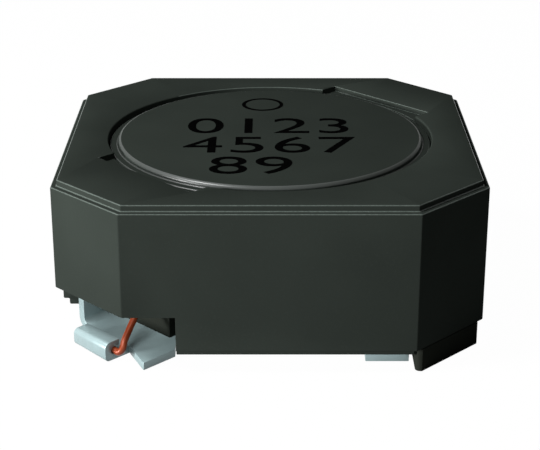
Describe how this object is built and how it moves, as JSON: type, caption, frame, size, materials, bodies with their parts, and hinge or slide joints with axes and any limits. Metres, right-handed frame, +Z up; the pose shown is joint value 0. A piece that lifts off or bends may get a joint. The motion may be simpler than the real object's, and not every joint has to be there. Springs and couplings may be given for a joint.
{
  "type": "shielded smd power inductor",
  "caption": "Octagonal shielded surface-mount power inductor: wound ferrite drum in a ferrite ring on a moulded base with folded clamp terminals.",
  "frame": {"origin": "middle of the seating plane, on the common axis of the drum core and the ring core", "axes": "+Z up from the board; the start terminal is at the (-X, -Y) corner and the finish terminal at the (+X, +Y) corner"},
  "size_m": [0.0104, 0.0104, 0.0042],
  "materials": {
    "ring_ferrite": "tumbled satin ferrite, dark grey-green",
    "drum_ferrite": "ground satin ferrite, dark grey-green",
    "enamelled_copper": "copper wire under clear red-brown enamel",
    "base_resin": "black moulded heat-resistant resin",
    "tinned_sheet": "bright tin over sheet",
    "cured_adhesive": "cured epoxy"
  },
  "bodies": {
    "root": {"ring_core": "ring_ferrite", "drum_core": "drum_ferrite", "winding": "enamelled_copper", "base_plate": "base_resin", "terminal_start": "tinned_sheet", "terminal_finish": "tinned_sheet", "drum_bond": "cured_adhesive", "ring_bond": "cured_adhesive"}
  },
  "joints": []
}
